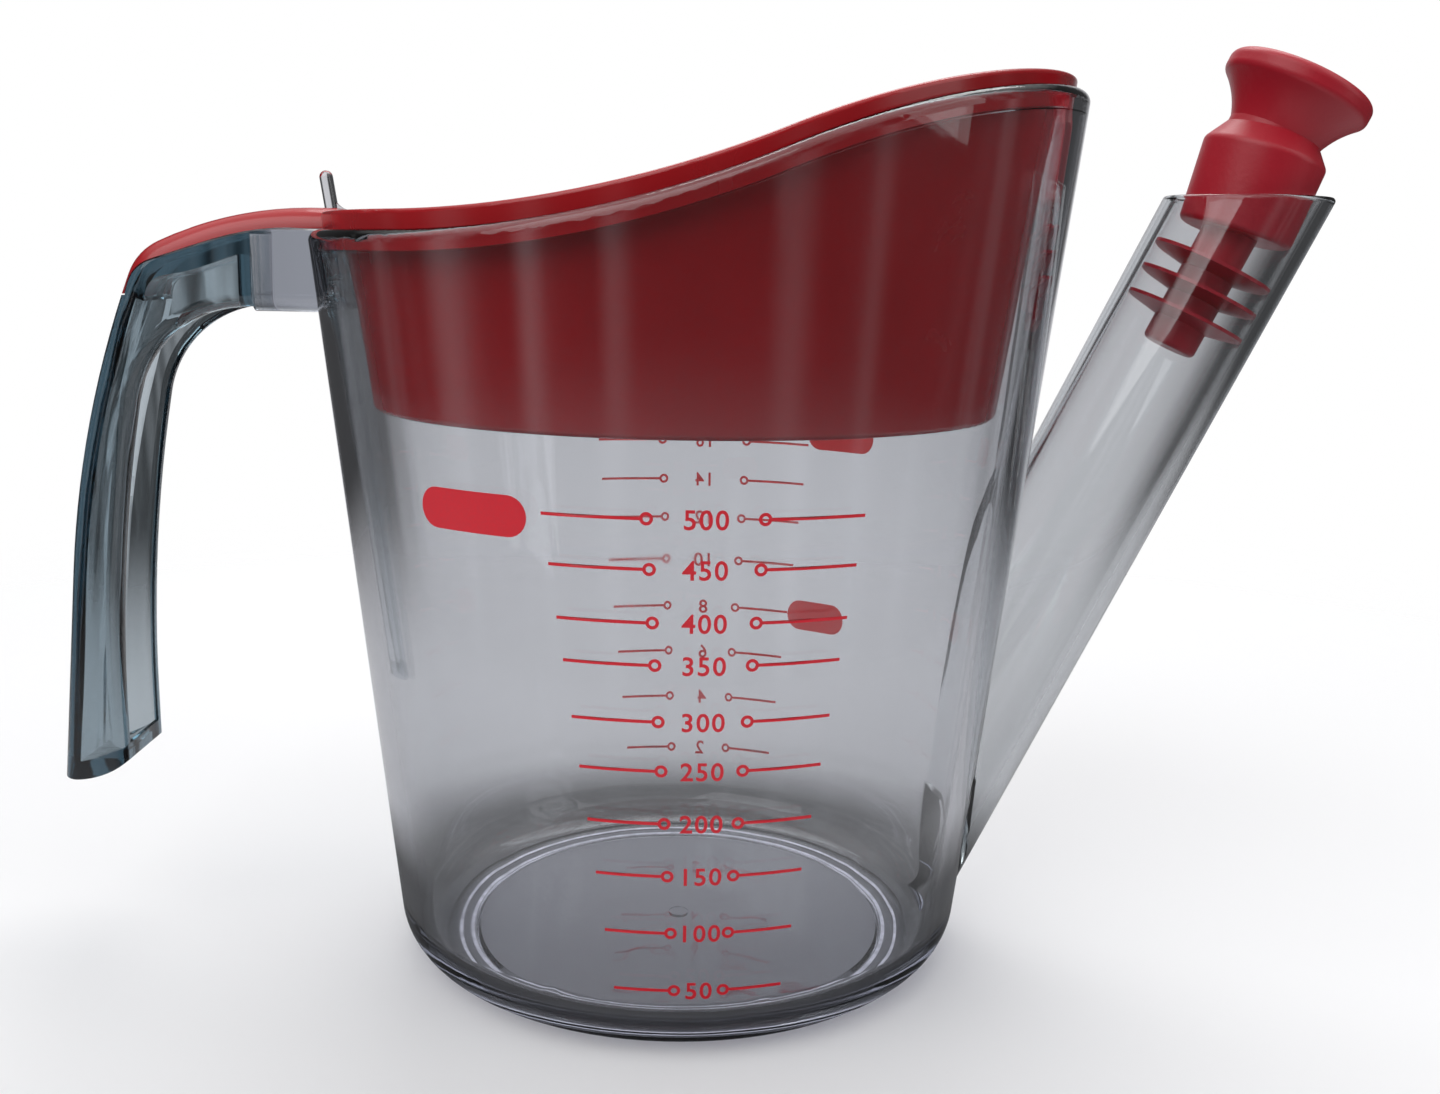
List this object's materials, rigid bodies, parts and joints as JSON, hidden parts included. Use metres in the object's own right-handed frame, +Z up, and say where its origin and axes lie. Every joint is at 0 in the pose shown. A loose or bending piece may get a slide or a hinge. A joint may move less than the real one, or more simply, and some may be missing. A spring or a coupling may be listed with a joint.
{
  "type": "gravy fat separator",
  "caption": "Clear jug with a bottom-fed spout, an open hooked handle, a red strainer lid along an S-shaped rim, and a red stopper that shuts the spout.",
  "frame": {"origin": "on the table, under the axis of the round jug", "axes": "+X from the jug's axis to the spout, -X to the handle, +Z up"},
  "size_m": [0.197, 0.112, 0.1395],
  "materials": {
    "clear_jug": "polished, clear",
    "clear_spout": "polished, clear",
    "clear_handle": "polished, clear",
    "red_lid": "glossy",
    "red_stopper": "satin, soft"
  },
  "bodies": {
    "jug": {"jug_body": "clear_jug", "spout_tube": "clear_spout", "handle": "clear_handle"},
    "lid": {"strainer_lid": "red_lid"},
    "stopper": {"spout_stopper": "red_stopper"}
  },
  "joints": [
    {"name": "lid_lift", "type": "slide", "parent": "jug", "child": "lid", "axis": [0, 0, 1], "range_m": [0, 0.06]},
    {"name": "stopper_pull", "type": "slide", "parent": "jug", "child": "stopper", "axis": [0.4258, 0, 0.9048], "range_m": [0, 0.045]}
  ]
}
